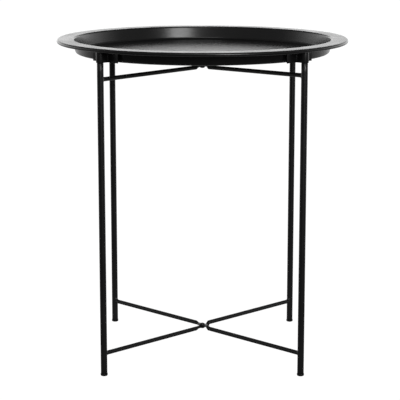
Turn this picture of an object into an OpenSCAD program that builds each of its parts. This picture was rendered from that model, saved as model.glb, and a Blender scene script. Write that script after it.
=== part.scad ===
// Folding side table: a pressed round tray that lifts off two crossed steel frames.
// The frames turn about two rivets on the table's vertical axis.
// Units are millimetres. The origin is the point on the floor under the tray's centre.

/* [Table] */
// Overall height, from the floor to the top of the rim
table_h = 520; // [500:5:550]
// Overall diameter of the tray
tray_d = 470; // [450:5:500]
// Distance from the table's axis to each leg's axis
leg_circle_r = 220; // [210:1:221]

/* [Tray] */
// Overall depth of the tray
tray_depth = 22.4; // [20:0.2:26]
// Thickness of the tray's sheet steel
sheet = 1; // [0.8:0.1:1.2]
// Width of the rim, from the top of the wall to the outer edge
rim_w = 24.7; // [22:0.1:26]
// Slope of the wall above the horizontal, in degrees
wall_slope = 81; // [75:1:86]
// Radius of the bend between floor and wall, at mid-thickness
floor_bend_r = 4.5; // [3:0.5:6]
// Radius of the bend between wall and rim, at mid-thickness
rim_bend_r = 2.5; // [2:0.5:4]
// Diameter of the rolled edge
bead_d = 5.8; // [5:0.2:7]

/* [Legs] */
// Outside diameter of the leg tube, coat included
leg_d = 10.3; // [9.6:0.1:10.5]
// Wall thickness of the leg tube, coat included
leg_wall = 1.15; // [0.85:0.05:1.45]
// Diameter of the foot cap
foot_d = 11.4; // [10.8:0.1:13]
// Height of the foot cap below the tube
foot_h = 4; // [3:0.5:6]
// Diameter of the locating pin on the leg's top plug
pin_d = 7; // [6:0.5:7.5]

/* [Crossbars] */
// Diameter of the crossbar rod, coat included
bar_d = 6.8; // [5.6:0.2:7]
// Height of the lower pivot's mid-plane
lower_pivot_z = 37.3; // [30:0.1:60]
// Distance from the tray's underside down to the upper pivot's mid-plane
upper_pivot_drop = 21.9; // [18:0.1:40]
// Thickness of the flattened middle of each bar
pad_t = 2.4; // [2:0.2:3]
// Diameter of the rivet's shank
rivet_d = 4; // [3:0.5:5]

/* [Brackets] */
// Thickness of the bracket's strip
strip_t = 1; // [0.8:0.1:1.2]
// Tangential distance from the leg's axis to the end of each flange
flange_reach = 28.5; // [16:0.5:30]
// Distance that the bracket reaches below the tray's underside
bracket_drop = 0.4; // [0:0.2:3]

/* [Hidden] */
$fn = 64;

black_steel = "#1d1d1f";
black_plastic = "#111112";
rivet_steel = "#3a3a3c";

// Directions of the legs, seen from above, in degrees from +X. Frame A joins the
// front left and back right legs, and frame B the front right and back left legs.
az_front_left = 225;
az_front_right = 315;
az_back_left = 135;
az_back_right = 45;

// Slack between pieces of one body, a running fit's clearance on the radius, and
// the air between the two bars' pads and under the rivet heads.
seat_gap = 0.02;
run_gap = 0.05;
pad_gap = 0.1;

// Tray: the centres of its three bends in the (radius, height) plane.
tray_bottom_z = table_h - tray_depth;
half_sheet = sheet / 2;
bead_r = bead_d / 2;
rim_bend_c = [tray_d / 2 - rim_w, table_h - half_sheet - rim_bend_r];
floor_bend_z = tray_bottom_z + half_sheet + floor_bend_r;
// The wall's mid-surface is the common tangent of the rim bend and the floor bend.
wall_run = (rim_bend_c[1] - floor_bend_z + (rim_bend_r + floor_bend_r) * cos(wall_slope))
    / sin(wall_slope);
floor_bend_c = [
    rim_bend_c[0] - wall_run * cos(wall_slope) - (rim_bend_r + floor_bend_r) * sin(wall_slope),
    floor_bend_z,
];
bead_c = [tray_d / 2 - bead_r, table_h - bead_r];
bead_turn = 320;

// Legs, plugs and brackets.
leg_r = leg_d / 2;
leg_bore_r = leg_r - leg_wall;
bracket_bottom_z = tray_bottom_z - bracket_drop;
bracket_top_z = table_h - sheet - seat_gap;
plug_collar_h = 1;
plug_collar_top_z = bracket_bottom_z - 0.4;
leg_top_z = plug_collar_top_z - plug_collar_h;
plug_shank_l = 14;
pin_r = pin_d / 2;
pin_straight = 0.9;
pin_top_z = plug_collar_top_z + pin_straight + pin_r;
stop_gap = 0.3;
crown_in_r = leg_r + 0.2;
crown_out_r = crown_in_r + strip_t;
// The flanges stand just off the wall, and end below the rim's bend.
wall_gap = 0.3;
rim_bend_in_r = rim_bend_r - half_sheet;
rim_bend_x = rim_bend_c[0] - leg_circle_r;
flange_in = rim_bend_x - rim_bend_in_r + wall_gap;
flange_top_z = rim_bend_c[1] - seat_gap
    + sqrt(rim_bend_in_r * rim_bend_in_r - pow(rim_bend_in_r - wall_gap, 2));
flange_bend_r = 1.2;

// Crossbars. Each bar is low in front of the pivot and high behind it, and the pads
// of the two bars lie on each other. "near" is the front half and "far" the back half.
bar_r = bar_d / 2;
bar_step = 2.4;
upper_pivot_z = tray_bottom_z - upper_pivot_drop;
pad_d = 12;
// The flat neck is widest at the pivot and narrows towards the rod.
neck_root_w = 10.8;
neck_tip_w = 8.4;
strip_w = bar_d - 0.4;
// Distances from the pivot at which the flat neck ends and the round rod starts.
neck_end = 12;
rod_start = 15;
strip_overlap = 1;
// Height of each bar's end at its leg, counted from the pivot's mid-plane.
lower_near_dz = -1;
lower_far_dz = 0.4;
upper_a_near_dz = -4.5;
upper_a_far_dz = 4.5;
upper_b_near_dz = 1.8;
upper_b_far_dz = -1.6;

rivet_r = rivet_d / 2;
rivet_head_r = 4.2;
rivet_head_h = 2;
bead_leg = 1.7;

// Points along an arc in a plane, from angle a0 to a1.
function arc(c, r, a0, a1, n) =
    [for (i = [0:n]) let (a = a0 + (a1 - a0) * i / n) c + r * [cos(a), sin(a)]];

function reversed(v) = [for (i = [len(v) - 1:-1:0]) v[i]];

// One face of the tray's sheet, from the axis out to the end of the rolled edge.
// side is +1 for the upper face and -1 for the lower face.
function sheet_face(side) = concat(
    [[0, tray_bottom_z + half_sheet + side * half_sheet]],
    arc(floor_bend_c, floor_bend_r - side * half_sheet, -90, wall_slope - 90, 6),
    arc(rim_bend_c, rim_bend_r + side * half_sheet, 90 + wall_slope, 90, 6),
    arc(bead_c, bead_r - (1 - side) * half_sheet, 90, 90 - bead_turn, 20)
);

module tray() {
    color(black_steel)
        rotate_extrude($fn = 96)
            polygon(concat(sheet_face(1), reversed(sheet_face(-1))));
}

module at_leg(az) {
    rotate([0, 0, az])
        translate([leg_circle_r, 0, 0])
            children();
}

// Outline of the space inside a bracket, in leg coordinates: +X points outwards.
module pocket_outline() {
    circle(r = crown_in_r);
    translate([flange_in, -crown_in_r])
        square([-flange_in, 2 * crown_in_r]);
}

// Concave bend between a web and its flange, as a quarter ring.
module flange_bend() {
    translate([flange_in + strip_t + flange_bend_r, crown_out_r + flange_bend_r])
        intersection() {
            difference() {
                circle(r = flange_bend_r + strip_t);
                circle(r = flange_bend_r);
            }
            translate([-flange_bend_r - strip_t, -flange_bend_r - strip_t])
                square(flange_bend_r + strip_t);
        }
}

module bracket_outline() {
    web_start = flange_in + strip_t + flange_bend_r;
    difference() {
        union() {
            circle(r = crown_out_r);
            translate([web_start, -crown_out_r])
                square([-web_start, 2 * crown_out_r]);
        }
        circle(r = crown_in_r);
        translate([web_start - 1, -crown_in_r])
            square([1 - web_start, 2 * crown_in_r]);
    }
    for (side = [-1, 1])
        mirror([0, (1 - side) / 2]) {
            flange_bend();
            translate([flange_in, crown_out_r + flange_bend_r])
                square([strip_t, flange_reach - crown_out_r - flange_bend_r]);
        }
}

// Hat-shaped strip that hangs under the rim and holds one leg's top. A plate inside
// it is the stop that rests on the leg's pin.
module bracket(az) {
    color(black_steel)
        at_leg(az) {
            difference() {
                translate([0, 0, bracket_bottom_z])
                    linear_extrude(bracket_top_z - bracket_bottom_z)
                        bracket_outline();
                translate([flange_in - 1, -flange_reach - 1, flange_top_z])
                    cube([rim_bend_x - flange_in + 1, 2 * flange_reach + 2, 10]);
            }
            translate([0, 0, pin_top_z + stop_gap])
                linear_extrude(strip_t)
                    pocket_outline();
        }
}

module leg(az) {
    color(black_steel)
        at_leg(az)
            translate([0, 0, foot_h])
                difference() {
                    cylinder(h = leg_top_z - foot_h, r = leg_r);
                    translate([0, 0, -1])
                        cylinder(h = leg_top_z - foot_h + 2, r = leg_bore_r);
                }
}

// Cap with a rounded lower edge and a shank that is pushed into the tube.
module foot_cap(az) {
    foot_r = foot_d / 2;
    round_r = 1.6;
    color(black_plastic)
        at_leg(az) {
            rotate_extrude()
                polygon(concat(
                    [[0, 0]],
                    arc([foot_r - round_r, round_r], round_r, -90, 0, 6),
                    [[foot_r, foot_h - 0.6], [foot_r - 0.4, foot_h - seat_gap],
                     [0, foot_h - seat_gap]]
                ));
            translate([0, 0, foot_h - 0.5])
                cylinder(h = plug_shank_l, r = leg_bore_r - seat_gap);
        }
}

// Plug in the top of the tube, with a collar and a round-nosed locating pin.
module top_plug(az) {
    color(black_plastic)
        at_leg(az) {
            translate([0, 0, leg_top_z - plug_shank_l])
                cylinder(h = plug_shank_l + 0.5, r = leg_bore_r - seat_gap);
            translate([0, 0, leg_top_z + seat_gap])
                cylinder(h = plug_collar_h - seat_gap, r = leg_r);
            translate([0, 0, plug_collar_top_z])
                rotate_extrude()
                    polygon(concat(
                        [[0, -0.5], [pin_r, -0.5]],
                        arc([0, pin_straight], pin_r, 0, 90, 12)
                    ));
        }
}

// Straight round rod between two points of the bar's own XZ plane.
module rod(p, q) {
    d = q - p;
    translate([p[0], 0, p[1]])
        rotate([0, 90 - atan2(d[1], d[0]), 0])
            cylinder(h = norm(d), r = bar_r);
}

// Flat strip between two points of the bar's own XZ plane, longer at both ends.
module strip(p, q) {
    d = q - p;
    translate([p[0], 0, p[1]])
        rotate([0, -atan2(d[1], d[0]), 0])
            translate([-strip_overlap, -strip_w / 2, -pad_t / 2])
                cube([norm(d) + 2 * strip_overlap, strip_w, pad_t]);
}

// One half of a crossbar, drawn towards +X: flat neck, bend and rod up to the leg.
module bar_half(pad_z, centre_dz, end_dz) {
    translate([0, 0, pad_z - pad_t / 2])
        linear_extrude(pad_t)
            polygon([
                [0, -neck_root_w / 2], [neck_end, -neck_tip_w / 2],
                [neck_end, neck_tip_w / 2], [0, neck_root_w / 2],
            ]);
    strip([neck_end, pad_z], [rod_start, centre_dz]);
    rod([rod_start, centre_dz], [leg_circle_r, end_dz]);
}

// Crossbar in its own frame: the far half runs along +X. level is +1 for the bar
// whose pad lies on top at the pivot and -1 for the bar underneath.
module crossbar(pivot_z, level, near_dz, far_dz) {
    pad_z = level * (pad_gap + pad_t) / 2;
    color(black_steel)
        translate([0, 0, pivot_z])
            difference() {
                union() {
                    translate([0, 0, pad_z - pad_t / 2])
                        cylinder(h = pad_t, d = pad_d);
                    bar_half(pad_z, bar_step, far_dz);
                    mirror([1, 0, 0])
                        bar_half(pad_z, -bar_step, near_dz);
                }
                translate([0, 0, pad_z - pad_t])
                    cylinder(h = 2 * pad_t, r = rivet_r + run_gap);
                for (side = [-1, 1])
                    translate([side * leg_circle_r, 0, -50])
                        cylinder(h = 100, r = leg_r + seat_gap);
            }
}

// Rivet with a domed head at each end, loose in both bars.
module rivet(pivot_z) {
    stack = pad_gap / 2 + pad_t + pad_gap;
    color(rivet_steel)
        translate([0, 0, pivot_z])
            rotate_extrude()
                polygon([
                    [0, -stack - rivet_head_h],
                    [rivet_head_r * 0.55, -stack - rivet_head_h],
                    [rivet_head_r * 0.85, -stack - rivet_head_h * 0.7],
                    [rivet_head_r, -stack - rivet_head_h * 0.25],
                    [rivet_head_r, -stack],
                    [rivet_r, -stack],
                    [rivet_r, stack],
                    [rivet_head_r, stack],
                    [rivet_head_r, stack + rivet_head_h * 0.25],
                    [rivet_head_r * 0.85, stack + rivet_head_h * 0.7],
                    [rivet_head_r * 0.55, stack + rivet_head_h],
                    [0, stack + rivet_head_h],
                ]);
}

// Fillet of weld metal round a rod where it meets a leg, with a hollow outline. It
// tilts with the rod.
module weld_bead(pivot_z, end_dz, side) {
    rim = bar_r + seat_gap;
    slope = atan2(end_dz - side * bar_step, leg_circle_r - rod_start);
    translate([side * leg_circle_r, 0, pivot_z + end_dz])
        difference() {
            rotate([0, -side * (90 + slope), 0])
                rotate_extrude($fn = 32)
                    polygon(concat(
                        [[rim, leg_r - 2], [rim + bead_leg, leg_r - 2]],
                        arc([rim + bead_leg, leg_r + bead_leg], bead_leg, 270, 180, 4)
                    ));
            translate([0, 0, -10])
                cylinder(h = 20, r = leg_r + seat_gap);
        }
}

module weld_beads(lower_near, lower_far, upper_near, upper_far) {
    color(black_steel) {
        weld_bead(lower_pivot_z, lower_near, -1);
        weld_bead(lower_pivot_z, lower_far, 1);
        weld_bead(upper_pivot_z, upper_near, -1);
        weld_bead(upper_pivot_z, upper_far, 1);
    }
}

module frame_a_pose() {
    rotate([0, 0, az_back_right])
        children();
}

module frame_b_pose() {
    rotate([0, 0, az_back_left])
        children();
}

module upper_crossbar_a() {
    frame_a_pose()
        crossbar(upper_pivot_z, -1, upper_a_near_dz, upper_a_far_dz);
}

module upper_crossbar_b() {
    frame_b_pose()
        crossbar(upper_pivot_z, 1, upper_b_near_dz, upper_b_far_dz);
}

module lower_crossbar_a() {
    frame_a_pose()
        crossbar(lower_pivot_z, -1, lower_near_dz, lower_far_dz);
}

module lower_crossbar_b() {
    frame_b_pose()
        crossbar(lower_pivot_z, 1, lower_near_dz, lower_far_dz);
}

module weld_beads_a() {
    frame_a_pose()
        weld_beads(lower_near_dz, lower_far_dz, upper_a_near_dz, upper_a_far_dz);
}

module weld_beads_b() {
    frame_b_pose()
        weld_beads(lower_near_dz, lower_far_dz, upper_b_near_dz, upper_b_far_dz);
}

tray();
bracket(az_front_left);  // bracket_front_left
bracket(az_front_right);  // bracket_front_right
bracket(az_back_left);  // bracket_back_left
bracket(az_back_right);  // bracket_back_right
leg(az_front_left);  // leg_front_left
leg(az_front_right);  // leg_front_right
leg(az_back_left);  // leg_back_left
leg(az_back_right);  // leg_back_right
foot_cap(az_front_left);  // foot_cap_front_left
foot_cap(az_front_right);  // foot_cap_front_right
foot_cap(az_back_left);  // foot_cap_back_left
foot_cap(az_back_right);  // foot_cap_back_right
top_plug(az_front_left);  // top_plug_front_left
top_plug(az_front_right);  // top_plug_front_right
top_plug(az_back_left);  // top_plug_back_left
top_plug(az_back_right);  // top_plug_back_right
upper_crossbar_a();
upper_crossbar_b();
lower_crossbar_a();
lower_crossbar_b();
rivet(upper_pivot_z);  // upper_rivet
rivet(lower_pivot_z);  // lower_rivet
weld_beads_a();
weld_beads_b();
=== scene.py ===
import math
import random

import bmesh
import bpy
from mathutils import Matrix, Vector, noise


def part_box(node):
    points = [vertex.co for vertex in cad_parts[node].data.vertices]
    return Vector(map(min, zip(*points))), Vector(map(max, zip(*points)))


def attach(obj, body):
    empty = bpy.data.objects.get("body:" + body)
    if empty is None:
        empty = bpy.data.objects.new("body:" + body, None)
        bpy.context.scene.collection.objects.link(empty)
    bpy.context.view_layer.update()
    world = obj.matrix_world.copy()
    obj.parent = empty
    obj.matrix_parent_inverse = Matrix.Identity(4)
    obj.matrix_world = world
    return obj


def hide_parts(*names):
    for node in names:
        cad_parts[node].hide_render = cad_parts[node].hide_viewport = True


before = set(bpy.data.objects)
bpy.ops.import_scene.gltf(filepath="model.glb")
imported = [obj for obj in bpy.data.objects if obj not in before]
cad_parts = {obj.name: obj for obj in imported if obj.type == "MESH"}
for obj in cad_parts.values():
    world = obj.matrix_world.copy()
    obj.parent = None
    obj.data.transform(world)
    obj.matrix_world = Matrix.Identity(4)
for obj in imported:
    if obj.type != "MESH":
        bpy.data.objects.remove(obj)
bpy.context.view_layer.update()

MM = 0.001
CORNERS = ("front_left", "front_right", "back_left", "back_right")
FRAME_OF = {"front_left": "a", "back_right": "a", "front_right": "b", "back_left": "b"}

# Sizes that the boxes of the CAD nodes give, in metres.
tray_low, tray_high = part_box("tray")
TRAY_R = tray_high.x
TRAY_TOP = tray_high.z
TRAY_BOTTOM = tray_low.z


def centre_of(node):
    """Middle of a CAD node's box."""
    low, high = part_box(node)
    return (low + high) / 2


LEG_AT = {corner: centre_of("leg_" + corner).to_2d() for corner in CORNERS}
LEG_CIRCLE = LEG_AT["back_right"].length
leg_low, leg_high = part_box("leg_back_right")
LEG_R = (leg_high.x - leg_low.x) / 2
foot_low, foot_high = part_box("foot_cap_back_right")
FOOT_R = (foot_high.x - foot_low.x) / 2

# Sizes of the design that a box doesn't show, as in the CAD source, in metres.
SHEET = 1.0 * MM
RIM_WIDTH = 24.7 * MM
WALL_SLOPE = math.radians(81)
FLOOR_BEND = 4.5 * MM
RIM_BEND = 2.5 * MM
BEAD_R = 2.9 * MM
BEAD_TURN = math.radians(320)
LEG_WALL = 1.15 * MM
BAR_R = 3.4 * MM
BAR_STEP = 2.4 * MM
PAD_HALF = 1.2 * MM
PAD_GAP = 0.1 * MM
RIVET_R = 2.0 * MM
STRIP = 1.0 * MM
FLANGE_REACH = 28.5 * MM
WALL_GAP = 0.3 * MM
LEG_GAP = 0.2 * MM
STOP_GAP = 0.3 * MM
PLUG_FIT = 0.02 * MM
PIN_R = 3.5 * MM
WELD_SINK = 0.5 * MM
# Inner face of a bracket's flanges, in leg coordinates with +x outwards.
FLANGE_X = TRAY_R - RIM_WIDTH - RIM_BEND + SHEET / 2 + WALL_GAP - LEG_CIRCLE
# Height of each bar's two ends over its pivot: the near end, then the far end.
BAR_ENDS = {
    "upper_a": (-4.5 * MM, 4.5 * MM),
    "upper_b": (1.8 * MM, -1.6 * MM),
    "lower_a": (-1.0 * MM, 0.4 * MM),
    "lower_b": (-1.0 * MM, 0.4 * MM),
}
BAR_DIRECTION = {"a": math.radians(45), "b": math.radians(135)}


# ---------------------------------------------------------------- mesh helpers

def smooth_step(t):
    t = min(max(t, 0.0), 1.0)
    return t * t * (3 - 2 * t)


def mix(a, b, t):
    return a + (b - a) * t


def arc(centre, radius, start, end, steps):
    """Points along an arc in a plane, both ends included."""
    angles = [start + (end - start) * i / steps for i in range(steps + 1)]
    return [(centre[0] + radius * math.cos(a), centre[1] + radius * math.sin(a)) for a in angles]


def finish_mesh(name, bm, sharp_angle=38):
    """Turns a bmesh into an object, smooth except across edges sharper than sharp_angle."""
    bmesh.ops.remove_doubles(bm, verts=bm.verts, dist=1e-7)
    bmesh.ops.recalc_face_normals(bm, faces=bm.faces)
    limit = math.radians(sharp_angle)
    for edge in bm.edges:
        edge.smooth = len(edge.link_faces) == 2 and edge.calc_face_angle(0) < limit
    for face in bm.faces:
        face.smooth = True
    mesh = bpy.data.meshes.new(name)
    bm.to_mesh(mesh)
    bm.free()
    piece = bpy.data.objects.new(name, mesh)
    bpy.context.scene.collection.objects.link(piece)
    return piece


def bridge_loops(bm, loops, closed=False):
    """Joins rings of equally many vertices with quads."""
    count = len(loops)
    for i in range(count if closed else count - 1):
        a, b = loops[i], loops[(i + 1) % count]
        for j in range(len(a)):
            k = (j + 1) % len(a)
            bm.faces.new((a[j], a[k], b[k], b[j]))


def lathe(bm, profile, steps, at=(0.0, 0.0), wobble=None):
    """Revolves an open profile of (radius, height) whose ends may lie on the axis."""
    rings = []
    for radius, height in profile:
        if radius < 1e-9:
            rings.append([bm.verts.new((at[0], at[1], height))])
            continue
        ring = []
        for j in range(steps):
            a = 2 * math.pi * j / steps
            lift = wobble(radius, a) if wobble else 0.0
            ring.append(bm.verts.new(
                (at[0] + radius * math.cos(a), at[1] + radius * math.sin(a), height + lift)))
        rings.append(ring)
    for a, b in zip(rings, rings[1:]):
        for j in range(steps):
            k = (j + 1) % steps
            corners = [a[j % len(a)], a[k % len(a)], b[k % len(b)], b[j % len(b)]]
            unique = list(dict.fromkeys(corners))
            if len(unique) > 2:
                bm.faces.new(unique)


def lathe_piece(name, profile, steps, at=(0.0, 0.0), sharp_angle=38):
    """New object from one revolved profile."""
    bm = bmesh.new()
    lathe(bm, profile, steps, at)
    return finish_mesh(name, bm, sharp_angle)


# ---------------------------------------------------------------- materials

def node_material(name):
    """New node material, with its tree and its shader."""
    material = bpy.data.materials.new(name)
    material.use_nodes = True
    tree = material.node_tree
    return material, tree, tree.nodes["Principled BSDF"]


def object_noise(tree, scale, detail=3.0, rough=0.55, stretch=(1.0, 1.0, 1.0)):
    """Noise that is fixed to the object, with its scale in turns per metre."""
    place = tree.nodes.new("ShaderNodeTexCoord")
    mapping = tree.nodes.new("ShaderNodeMapping")
    mapping.inputs["Scale"].default_value = stretch
    texture = tree.nodes.new("ShaderNodeTexNoise")
    texture.inputs["Scale"].default_value = scale
    texture.inputs["Detail"].default_value = detail
    texture.inputs["Roughness"].default_value = rough
    tree.links.new(place.outputs["Object"], mapping.inputs["Vector"])
    tree.links.new(mapping.outputs["Vector"], texture.inputs["Vector"])
    return texture.outputs["Fac"]


def ramp(tree, value, stops):
    """Colour ramp through (position, grey or colour) stops."""
    node = tree.nodes.new("ShaderNodeValToRGB")
    elements = node.color_ramp.elements
    while len(elements) < len(stops):
        elements.new(0.5)
    for element, (position, colour) in zip(elements, stops):
        element.position = position
        grey = (colour,) * 3 if isinstance(colour, float) else colour
        element.color = (*grey, 1.0)
    tree.links.new(value, node.inputs["Fac"])
    return node.outputs["Color"]


def mix_colour(tree, factor, a, b):
    """Colour a where the factor is 0 and b where it is 1, by the node's own colour sockets."""
    node = tree.nodes.new("ShaderNodeMix")
    node.data_type = "RGBA"
    tree.links.new(factor, node.inputs["Factor"])
    tree.links.new(a, node.inputs[6])
    tree.links.new(b, node.inputs[7])
    return node.outputs[2]


def bump(tree, shader, layers):
    """Stacks bump layers of (height socket, strength, distance in metres)."""
    normal = None
    for height, strength, distance in layers:
        node = tree.nodes.new("ShaderNodeBump")
        node.inputs["Strength"].default_value = strength
        node.inputs["Distance"].default_value = distance
        tree.links.new(height, node.inputs["Height"])
        if normal:
            tree.links.new(normal, node.inputs["Normal"])
        normal = node.outputs["Normal"]
    tree.links.new(normal, shader.inputs["Normal"])


def powder_coat(name, dark, light, roughness, peel):
    """Satin powder coat: fine orange peel, cloudy gloss and faint rubbed specks."""
    material, tree, shader = node_material(name)
    cloud = object_noise(tree, 14.0, 4.0)
    specks = object_noise(tree, 420.0, 2.0, 0.6)
    base = ramp(tree, cloud, [(0.3, dark), (0.75, light)])
    rub = ramp(tree, specks, [(0.70, 0.0), (0.85, 0.12)])
    faded = tuple(3.2 * c for c in light)
    bare = tuple(4.0 * c for c in light)
    worn = ramp(tree, cloud, [(0.0, faded), (1.0, bare)])
    tree.links.new(mix_colour(tree, rub, base, worn), shader.inputs["Base Color"])
    gloss = object_noise(tree, 26.0, 1.0, 0.5)
    tree.links.new(ramp(tree, gloss, [(0.25, roughness - 0.03), (0.8, roughness + 0.04)]),
                   shader.inputs["Roughness"])
    shader.inputs["IOR"].default_value = 1.5
    bump(tree, shader, [(object_noise(tree, 620.0, 2.0), peel, 0.06 * MM),
                        (object_noise(tree, 2600.0, 1.0), peel * 0.6, 0.02 * MM)])
    return material


def moulded_plastic(name, dark, light, roughness):
    """Injection-moulded black plastic with a fine spark-eroded grain and light scuffs."""
    material, tree, shader = node_material(name)
    cloud = object_noise(tree, 160.0, 3.0)
    tree.links.new(ramp(tree, cloud, [(0.3, dark), (0.8, light)]), shader.inputs["Base Color"])
    scuffs = object_noise(tree, 240.0, 4.0, 0.6, (1.0, 1.0, 0.25))
    tree.links.new(ramp(tree, scuffs, [(0.3, roughness - 0.05), (0.75, roughness + 0.14)]),
                   shader.inputs["Roughness"])
    shader.inputs["IOR"].default_value = 1.47
    bump(tree, shader, [(object_noise(tree, 2400.0, 2.0), 0.18, 0.03 * MM)])
    return material


def rivet_metal(name, coat, steel):
    """Black coat that is rubbed through to grey steel in patches."""
    material, tree, shader = node_material(name)
    patches = object_noise(tree, 520.0, 4.0, 0.6)
    bare = ramp(tree, patches, [(0.50, 0.0), (0.62, 1.0)])
    cloud = object_noise(tree, 300.0, 2.0)
    coat_colour = ramp(tree, cloud, [(0.3, coat), (0.8, tuple(1.5 * c for c in coat))])
    steel_colour = ramp(tree, cloud, [(0.3, steel), (0.8, tuple(1.3 * c for c in steel))])
    tree.links.new(mix_colour(tree, bare, coat_colour, steel_colour), shader.inputs["Base Color"])
    tree.links.new(ramp(tree, patches, [(0.5, 0.0), (0.62, 0.85)]), shader.inputs["Metallic"])
    tree.links.new(ramp(tree, cloud, [(0.2, 0.30), (0.9, 0.45)]), shader.inputs["Roughness"])
    bump(tree, shader, [(patches, 0.3, 0.05 * MM)])
    return material


COAT_DARK = (0.0052, 0.0052, 0.0056)
COAT_LIGHT = (0.0084, 0.0083, 0.0086)
TRAY_COAT = powder_coat("tray_powder_coat", COAT_DARK, COAT_LIGHT, 0.25, peel=0.05)
FRAME_COAT = powder_coat("frame_powder_coat", COAT_DARK, COAT_LIGHT, 0.34, peel=0.05)
BRACKET_COAT = powder_coat("bracket_powder_coat", COAT_DARK, COAT_LIGHT, 0.33, peel=0.05)
WELD_COAT = powder_coat("weld_powder_coat", COAT_DARK, COAT_LIGHT, 0.30, peel=0.25)
CAP_PLASTIC = moulded_plastic("cap_plastic", (0.004, 0.004, 0.0042), (0.009, 0.009, 0.009), 0.26)
RIVET_METAL = rivet_metal("rivet_metal", (0.006, 0.006, 0.006), (0.16, 0.155, 0.15))


def dress(piece, material, body, slot, *nodes):
    """Gives a new piece its material and its body, and hides the nodes it stands for; the slot argument is
    not used.
    """
    piece.data.materials.append(material)
    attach(piece, body)
    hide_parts(*nodes)


# ---------------------------------------------------------------- tray

def tray_wobble(radius, angle):
    """Slight unevenness of pressed sheet: the floor oil-cans and the rim waves."""
    flat = smooth_step((0.19 - radius) / 0.05)
    spot = noise.noise(Vector((radius * math.cos(angle) * 9, radius * math.sin(angle) * 9, 0.3)))
    floor = 0.16 * MM * flat * spot
    out = smooth_step((radius - 0.205) / (TRAY_R - 0.205))
    rim = 0.22 * MM * out * math.sin(3 * angle + 0.7) + 0.10 * MM * out * math.sin(7 * angle)
    return floor + rim


def tray_profile():
    """Closed section of the tray: inner face outwards to the rolled edge, then outer face back."""
    half = SHEET / 2
    rim_c = (TRAY_R - RIM_WIDTH, TRAY_TOP - half - RIM_BEND)
    floor_z = TRAY_BOTTOM + half + FLOOR_BEND
    bends = RIM_BEND + FLOOR_BEND
    run = (rim_c[1] - floor_z + bends * math.cos(WALL_SLOPE)) / math.sin(WALL_SLOPE)
    floor_c = (rim_c[0] - run * math.cos(WALL_SLOPE) - bends * math.sin(WALL_SLOPE), floor_z)
    bead_c = (TRAY_R - BEAD_R, TRAY_TOP - BEAD_R)
    quarter = math.pi / 2

    def face(side):
        level = TRAY_BOTTOM + half + side * half
        rings = 26
        points = [(floor_c[0] * i / rings, level) for i in range(rings)]
        points += arc(floor_c, FLOOR_BEND - side * half, -quarter, WALL_SLOPE - quarter, 10)
        points += arc(rim_c, RIM_BEND + side * half, quarter + WALL_SLOPE, quarter, 10)
        flat = points[-1]
        points += [(mix(flat[0], bead_c[0], i / 6), flat[1]) for i in range(1, 6)]
        points += arc(bead_c, BEAD_R - (1 - side) * half, quarter, quarter - BEAD_TURN, 36)
        return points

    return face(1) + face(-1)[::-1]


def make_tray():
    """The pressed tray, in one piece with its rolled edge."""
    bm = bmesh.new()
    lathe(bm, tray_profile(), 288, wobble=tray_wobble)
    tray = finish_mesh("tray_shell", bm, 50)
    dress(tray, TRAY_COAT, "tray_unit", "tray_steel", "tray")


# ---------------------------------------------------------------- brackets

def sweep_plate(bm, path, normals, low, tops, half, round_r):
    """Sweeps an upright plate section along a plan path, with rounded edges and ends."""
    loops = []
    for i, (p, n, high) in enumerate(zip(path, normals, tops)):
        inset = round_r * 0.7 if i in (0, len(path) - 1) else 0.0
        section = []
        for side_n, side_z, start in ((1, -1, -90), (1, 1, 0), (-1, 1, 90), (-1, -1, 180)):
            corner = (side_n * (half - round_r), (high if side_z > 0 else low) - side_z * round_r)
            for across, up in arc(corner, round_r - inset, math.radians(start), math.radians(start + 90), 3):
                section.append(bm.verts.new((p[0] + n[0] * across, p[1] + n[1] * across, up)))
        loops.append(section)
    bridge_loops(bm, loops)
    bm.faces.new(loops[0])
    bm.faces.new(loops[-1])


def plan_path():
    """Mid-line of the bracket's strip in leg coordinates, +x outwards, and its normals."""
    half = STRIP / 2
    crown = LEG_R + LEG_GAP + half
    bend = 1.2 * MM + half
    wall_x = FLANGE_X + half
    quarter = math.pi / 2
    outwards = (1.0, 0.0)
    near_end = FLANGE_REACH - 0.3 * MM
    side = [((wall_x, FLANGE_REACH), outwards), ((wall_x, near_end), outwards)]
    side += [((wall_x, mix(near_end, crown + bend, i / 5)), outwards) for i in range(1, 5)]
    for i in range(7):
        a = math.pi + quarter * i / 6
        point = (wall_x + bend + bend * math.cos(a), crown + bend + bend * math.sin(a))
        side.append((point, (-math.cos(a), -math.sin(a))))
    side += [((mix(wall_x + bend, 0.0, i / 3), crown), (0.0, 1.0)) for i in range(1, 3)]
    for i in range(12):
        a = quarter - quarter * i / 12
        side.append(((crown * math.cos(a), crown * math.sin(a)), (math.cos(a), math.sin(a))))
    mirrored = [((p[0], -p[1]), (n[0], -n[1])) for p, n in side[::-1]]
    return side + [((crown, 0.0), (1.0, 0.0))] + mirrored


def turned(point, corner):
    """Leg coordinates to the table's frame, for the leg at that corner."""
    a = math.atan2(LEG_AT[corner].y, LEG_AT[corner].x)
    x, y = point[0] + LEG_CIRCLE, point[1]
    return (x * math.cos(a) - y * math.sin(a), x * math.sin(a) + y * math.cos(a))


def add_stop_plate(bm, corner):
    """Flat plate inside the bracket, just over the pin of the leg's plug."""
    stop_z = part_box("top_plug_" + corner)[1].z + STOP_GAP
    inner = LEG_R + LEG_GAP
    back = FLANGE_X + STRIP
    outline = [(back, -inner)] + arc((0.0, 0.0), inner, -math.pi / 2, math.pi / 2, 16)
    outline.append((back, inner))
    rings = []
    for z in (stop_z, stop_z + STRIP):
        rings.append([bm.verts.new((*turned(p, corner), z)) for p in outline])
    bridge_loops(bm, rings)
    bm.faces.new(rings[0])
    bm.faces.new(rings[1])


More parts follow.
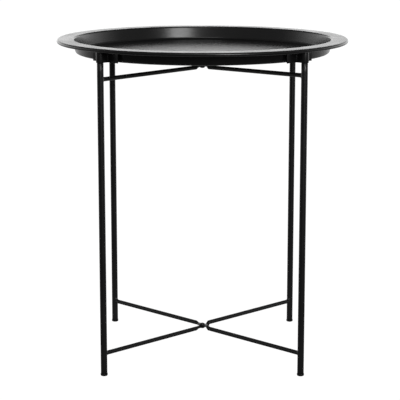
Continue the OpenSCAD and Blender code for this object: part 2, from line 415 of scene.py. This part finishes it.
def make_bracket(corner):
    """Hat-shaped strip round a leg's top, cut down where it passes under the rim's bend."""
    low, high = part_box("bracket_" + corner)
    angle = math.atan2(LEG_AT[corner].y, LEG_AT[corner].x)
    path, normals, tops = [], [], []
    notch_x = TRAY_R - RIM_WIDTH - LEG_CIRCLE
    notch_depth = 0.93 * MM
    for p, n in plan_path():
        cut = notch_depth * smooth_step((notch_x + 0.4 * MM - p[0]) / (0.8 * MM))
        tops.append(high.z - cut)
        path.append(turned(p, corner))
        normals.append((n[0] * math.cos(angle) - n[1] * math.sin(angle),
                        n[0] * math.sin(angle) + n[1] * math.cos(angle)))
    bm = bmesh.new()
    sweep_plate(bm, path, normals, low.z, tops, STRIP / 2, 0.38 * MM)
    add_stop_plate(bm, corner)
    piece = finish_mesh("bracket_strip_" + corner, bm, 40)
    dress(piece, BRACKET_COAT, "tray_unit", "bracket_steel", "bracket_" + corner)


# ---------------------------------------------------------------- legs, caps and plugs

def make_leg(corner):
    """Straight tube with eased ends."""
    low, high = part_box("leg_" + corner)
    edge = 0.3 * MM
    bore = LEG_R - LEG_WALL
    length = high.z - low.z
    outer = [(LEG_R, low.z + edge + (length - 2 * edge) * i / 40) for i in range(41)]
    profile = [(bore, low.z + 0.2 * MM), (LEG_R - edge, low.z)] + outer
    profile += [(LEG_R - edge, high.z), (bore, high.z - 0.2 * MM), (bore, low.z + 0.2 * MM)]
    piece = lathe_piece("leg_tube_" + corner, profile, 64, LEG_AT[corner], 60)
    dress(piece, FRAME_COAT, "frame_" + FRAME_OF[corner], "frame_steel", "leg_" + corner)


def make_foot_cap(corner):
    """Cap with a rounded sole and a shank that is pushed into the tube."""
    low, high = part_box("foot_cap_" + corner)
    foot_h = leg_low.z - low.z
    base_round = 1.7 * MM
    shank = LEG_R - LEG_WALL - PLUG_FIT
    top = low.z + foot_h - PLUG_FIT
    lip = 0.35 * MM
    dimple_z = low.z + 0.25 * MM
    profile = [(0.0, dimple_z), (2.2 * MM, dimple_z), (2.6 * MM, low.z)]
    profile += arc((FOOT_R - base_round, low.z + base_round), base_round, -math.pi / 2, 0, 10)
    profile += arc((FOOT_R - lip, top - lip), lip, 0, math.pi / 2, 5)
    profile += [(shank, top), (shank, high.z - 1 * MM), (shank - 0.6 * MM, high.z), (0.0, high.z)]
    piece = lathe_piece("foot_" + corner, profile, 64, LEG_AT[corner], 35)
    dress(piece, CAP_PLASTIC, "frame_" + FRAME_OF[corner], "cap_plastic", "foot_cap_" + corner)


def make_top_plug(corner):
    """Plug with a collar on the tube's top and a round-nosed pin for the tray."""
    low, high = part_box("top_plug_" + corner)
    shank = LEG_R - LEG_WALL - PLUG_FIT
    collar_low = leg_high.z + PLUG_FIT
    collar_high = high.z - PIN_R - 0.9 * MM
    edge = 0.25 * MM
    profile = [(0.0, low.z), (shank - 0.6 * MM, low.z), (shank, low.z + 1 * MM), (shank, collar_low),
               (LEG_R - edge, collar_low)]
    profile += arc((LEG_R - edge, collar_high - edge), edge, 0, math.pi / 2, 4)
    profile += [(PIN_R + 0.2 * MM, collar_high), (PIN_R, collar_high + 0.2 * MM)]
    profile += arc((0.0, high.z - PIN_R), PIN_R, 0, math.pi / 2, 14)
    piece = lathe_piece("plug_" + corner, profile, 64, LEG_AT[corner], 35)
    dress(piece, CAP_PLASTIC, "frame_" + FRAME_OF[corner], "cap_plastic", "top_plug_" + corner)


# ---------------------------------------------------------------- crossbars

# Where the flat ends and the round rod starts, from the rivet, and the flat's half widths.
NECK_END = 11.2 * MM
ROD_START = 15.4 * MM
EYE_R = 6.0 * MM
NECK_ROOT = 5.4 * MM
NECK_TIP = 4.2 * MM


def bar_station(s, level, near_dz, far_dz):
    """Centre height, half width, half thickness and squareness of a bar at distance s."""
    pad_z = level * (PAD_GAP / 2 + PAD_HALF)
    centre, end = (BAR_STEP, far_dz) if s > 0 else (-BAR_STEP, near_dz)
    rod_z = mix(centre, end, abs(s) / LEG_CIRCLE)
    t = smooth_step((abs(s) - NECK_END) / (ROD_START - NECK_END))
    eye = math.sqrt(max(EYE_R ** 2 - s * s, 0.0))
    pad_w = max(eye, mix(NECK_ROOT, NECK_TIP, abs(s) / NECK_END))
    return (mix(pad_z, rod_z, t), mix(pad_w, BAR_R, t), mix(PAD_HALF, BAR_R, t), mix(0.5, 1.0, t))


def bar_ring(bm, s, direction, pivot_z, section):
    """Ring of vertices round a bar at distance s from its rivet, from ellipse to flat oblong."""
    z, half_w, half_t, power = section
    ring = []
    for j in range(36):
        a = 2 * math.pi * j / 36
        c, d = math.cos(a), math.sin(a)
        across = half_w * math.copysign(abs(c) ** power, c)
        up = half_t * math.copysign(abs(d) ** power, d)
        ring.append(bm.verts.new((s * math.cos(direction) - across * math.sin(direction),
                                  s * math.sin(direction) + across * math.cos(direction),
                                  pivot_z + z + up)))
    return ring


def make_crossbar(which, side, pivot_z):
    """Rod with a forged flat and a rivet hole in its middle, from leg to leg."""
    level = 1 if side == "b" else -1
    near_dz, far_dz = BAR_ENDS[which + "_" + side]
    direction = BAR_DIRECTION[side]
    reach = LEG_CIRCLE - LEG_R + 0.5 * MM
    middle = [0.5 * MM * i for i in range(-48, 49)]
    tail = [mix(24 * MM, reach, i / 20) for i in range(1, 21)]
    stations = [-s for s in tail[::-1]] + middle + tail
    bm = bmesh.new()
    loops = []
    for s in stations:
        section = bar_station(s, level, near_dz, far_dz)
        loops.append(bar_ring(bm, s, direction, pivot_z, section))
    bridge_loops(bm, loops)
    bm.faces.new(loops[0])
    bm.faces.new(loops[-1])
    piece = finish_mesh(f"{which}_bar_{side}", bm, 40)
    drill(piece, pivot_z, RIVET_R + 0.05 * MM)
    dress(piece, FRAME_COAT, "frame_" + side, "frame_steel", f"{which}_crossbar_{side}")


def drill(piece, z, radius):
    """Cuts the rivet hole through a bar."""
    half = 6 * MM
    bore = [(0.0, z - half), (radius, z - half), (radius, z + half), (0.0, z + half)]
    tool = lathe_piece("drill", bore, 48)
    cut = piece.modifiers.new("rivet_hole", "BOOLEAN")
    cut.object = tool
    cut.operation = "DIFFERENCE"
    cut.solver = "EXACT"
    graph = bpy.context.evaluated_depsgraph_get()
    drilled = bpy.data.meshes.new_from_object(piece.evaluated_get(graph))
    piece.modifiers.clear()
    piece.data = drilled
    bpy.data.objects.remove(tool)


def make_rivet(which):
    """Domed rivet through both flats, with slightly dished heads."""
    low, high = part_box(which + "_rivet")
    middle = (low.z + high.z) / 2
    stack = PAD_GAP / 2 + 2 * PAD_HALF + PAD_GAP
    head_r = (high.x - low.x) / 2
    head_h = high.z - middle - stack

    def head(sign):
        face = middle + sign * stack
        points = [(RIVET_R, face), (head_r - 0.15 * MM, face), (head_r, face + sign * 0.15 * MM)]
        for i in range(9):
            a = math.radians(8 + 72 * i / 8)
            rise = head_h * (0.12 + 0.88 * math.sin(a) ** 1.2)
            points.append((head_r * math.cos(a) ** 0.8, face + sign * rise))
        points.append((0.0, face + sign * (head_h - 0.25 * MM)))
        return points

    profile = head(-1)[::-1] + head(1)
    piece = lathe_piece(which + "_rivet_pin", profile, 56, sharp_angle=35)
    dress(piece, RIVET_METAL, "pivot_rivets", "rivet_steel", which + "_rivet")


# ---------------------------------------------------------------- weld beads

WELD_STEPS = 60
WELD_RIPPLES = 15
WELD_SAG = 0.34
WELD_SIDE = 1.5 * MM
WELD_ALONG = 1.6 * MM


def weld_section(c, d, under, over, swell, ripple):
    """Closed section of a fillet at one turn round the rod, whose cosine and sine are c and d.
    Its points are (distance from the leg's axis, distance from the rod's axis)."""
    reach = mix(WELD_SIDE, over if d > 0 else under, abs(d) ** 1.5)
    along = mix(WELD_ALONG, reach, abs(d)) * swell
    outer = BAR_R + reach + 0.25 * ripple
    foot_y = min(outer * abs(c), LEG_R * 0.985)
    foot = (math.sqrt(LEG_R ** 2 - foot_y ** 2), outer)
    rod_y = BAR_R * abs(c)
    top = (math.sqrt(LEG_R ** 2 - rod_y ** 2) + along, BAR_R)
    section = [(foot[0] - WELD_SINK, outer)]
    for i in range(8):
        t = i / 7
        bend = 4 * t * (1 - t)
        x = mix(foot[0], top[0], t) - bend * WELD_SAG * along * 0.5 + bend * ripple
        r = mix(foot[1], top[1], t) - bend * WELD_SAG * reach * 0.5 + bend * ripple
        section.append((x, r))
    return section + [(top[0], BAR_R - WELD_SINK), (foot[0] - WELD_SINK, BAR_R - WELD_SINK)]


def weld_ring(bm, corner, z, under, over, seed):
    """One rippled fillet of weld metal round a rod's end, on the leg at that corner.
    under and over are how far the fillet runs down and up the leg from the rod."""
    phase = random.Random(seed).uniform(0, 6.28)
    angle = math.atan2(LEG_AT[corner].y, LEG_AT[corner].x)
    loops = []
    for j in range(WELD_STEPS):
        a = 2 * math.pi * j / WELD_STEPS
        c, d = math.cos(a), math.sin(a)
        swell = 1 + 0.10 * math.sin(2 * a + phase)
        ripple = 0.10 * MM * math.sin(WELD_RIPPLES * a + phase)
        loop = []
        for x, r in weld_section(c, d, under, over, swell, ripple):
            radial, tangent, up = LEG_CIRCLE - x, r * c, z + r * d
            loop.append(bm.verts.new((radial * math.cos(angle) - tangent * math.sin(angle),
                                      radial * math.sin(angle) + tangent * math.cos(angle), up)))
        loops.append(loop)
    bridge_loops(bm, loops, closed=True)


def make_welds(side, pivots):
    """The four fillets of one frame. Each is as wide under and over its rod as sizes gives."""
    near, far = ("front_left", "back_right") if side == "a" else ("front_right", "back_left")
    bm = bmesh.new()
    sizes = {
        ("upper", near): (2.0 * MM, 1.3 * MM) if side == "a" else (4.2 * MM, 1.3 * MM),
        ("upper", far): (2.4 * MM, 1.5 * MM),
        ("lower", near): (1.6 * MM, 1.6 * MM),
        ("lower", far): (1.6 * MM, 3.6 * MM),
    }
    for seed, ((which, corner), (under, over)) in enumerate(sizes.items()):
        end = BAR_ENDS[which + "_" + side][0 if corner == near else 1]
        weld_ring(bm, corner, pivots[which] + end, under, over, seed + (7 if side == "b" else 1))
    piece = finish_mesh("weld_fillets_" + side, bm, 60)
    dress(piece, WELD_COAT, "frame_" + side, "weld_steel", "weld_beads_" + side)


# ---------------------------------------------------------------- staging

def seen_or_mirrored(tree, seen, mirrored):
    """One colour for the camera's own rays, and the other for every other ray."""
    path = tree.nodes.new("ShaderNodeLightPath")
    return mix_colour(tree, path.outputs["Is Camera Ray"], mirrored, seen)


def white(tree):
    """The backdrop's own colour."""
    node = tree.nodes.new("ShaderNodeRGB")
    node.outputs[0].default_value = (1.05, 1.05, 1.05, 1.0)
    return node.outputs[0]


def axis_of(tree, output, axis, low, high):
    """One coordinate, brought from low..high to 0..1."""
    place = tree.nodes.new("ShaderNodeTexCoord")
    split = tree.nodes.new("ShaderNodeSeparateXYZ")
    span = tree.nodes.new("ShaderNodeMapRange")
    span.inputs["From Min"].default_value = low
    span.inputs["From Max"].default_value = high
    tree.links.new(place.outputs[output], split.inputs["Vector"])
    tree.links.new(split.outputs[axis], span.inputs["Value"])
    return span.outputs["Result"]


def stage_material():
    """White paper to the camera; to every other ray a painted glow that falls off towards the front."""
    material = bpy.data.materials.new("floor_white_and_painted_glow")
    material.use_nodes = True
    tree = material.node_tree
    tree.nodes.remove(tree.nodes["Principled BSDF"])
    glow = tree.nodes.new("ShaderNodeEmission")
    depth = axis_of(tree, "Object", "Y", -4.0, 4.0)
    # Painted glow and painted shade: other rays see the floor glow bright behind the table and dark in
    # front, in place of the studio light falling on the paper.
    painted_glow = ramp(tree, depth, [(0.05, 0.05), (0.44, 0.06), (0.56, 0.26), (0.9, 1.0)])
    tree.links.new(seen_or_mirrored(tree, white(tree), painted_glow), glow.inputs["Color"])
    tree.links.new(glow.outputs["Emission"], tree.nodes["Material Output"].inputs["Surface"])
    return material


def make_floor():
    """Round sheet of studio paper, far wider than the view."""
    bm = bmesh.new()
    bmesh.ops.create_circle(bm, cap_ends=True, segments=96, radius=14.0)
    floor = finish_mesh("studio_floor", bm)
    floor.data.materials.append(stage_material())


def make_world():
    """A bright wall behind the table and a dark studio in front, plain white to the camera."""
    world = bpy.data.worlds.new("studio")
    world.use_nodes = True
    tree = world.node_tree
    height = axis_of(tree, "Generated", "Z", 0.0, 1.0)
    wall = ramp(tree, height, [(0.0, 1.80), (0.15, 1.60), (0.34, 0.25), (0.9, 0.14)])
    studio = ramp(tree, height, [(0.0, 0.20), (0.12, 0.26), (0.32, 0.22), (0.6, 0.14)])
    depth = ramp(tree, axis_of(tree, "Generated", "Y", -1.0, 1.0), [(0.45, 0.0), (0.80, 1.0)])
    around = mix_colour(tree, depth, studio, wall)
    tree.links.new(seen_or_mirrored(tree, white(tree), around), tree.nodes["Background"].inputs["Color"])
    bpy.context.scene.world = world


def soft_light(name, azimuth, elevation, distance, width, height, power, aim=(0, 0, 0.4)):
    """Area light round the table: azimuth 0 is in front, positive to the right."""
    a, e = math.radians(azimuth), math.radians(elevation)
    target = Vector(aim)
    offset = Vector((math.sin(a) * math.cos(e), -math.cos(a) * math.cos(e), math.sin(e)))
    data = bpy.data.lights.new(name, "AREA")
    data.shape = "RECTANGLE"
    data.size = width
    data.size_y = height
    data.energy = power
    light = bpy.data.objects.new(name, data)
    light.location = target + distance * offset
    light.rotation_euler = (-offset).to_track_quat("-Z", "Y").to_euler()
    light.visible_camera = False
    bpy.context.scene.collection.objects.link(light)


def make_camera():
    """Camera in front and a little above, with a long lens, aimed just below the tray."""
    data = bpy.data.cameras.new("camera")
    data.sensor_width = 36.0
    data.lens = 137.8
    data.clip_start = 0.05
    data.clip_end = 60.0
    camera = bpy.data.objects.new("camera", data)
    camera.location = (0.0, -2.479, 0.758)
    camera.rotation_euler = (math.radians(90 - 11.53), 0.0, math.radians(0.09))
    bpy.context.scene.collection.objects.link(camera)
    bpy.context.scene.camera = camera


make_tray()
for corner_name in CORNERS:
    make_bracket(corner_name)
    make_leg(corner_name)
    make_foot_cap(corner_name)
    make_top_plug(corner_name)
pivot_heights = {which: centre_of(which + "_rivet").z for which in ("upper", "lower")}
for frame_side in ("a", "b"):
    for which_bar, pivot_height in pivot_heights.items():
        make_crossbar(which_bar, frame_side, pivot_height)
    make_welds(frame_side, pivot_heights)
make_rivet("upper")
make_rivet("lower")

make_floor()
make_world()
soft_light("key_softbox", 22, 16, 2.6, 0.9, 0.7, 20)
soft_light("top_softbox", 5, 42, 2.4, 1.6, 0.6, 8)
make_camera()
bpy.context.scene.view_settings.view_transform = "Standard"
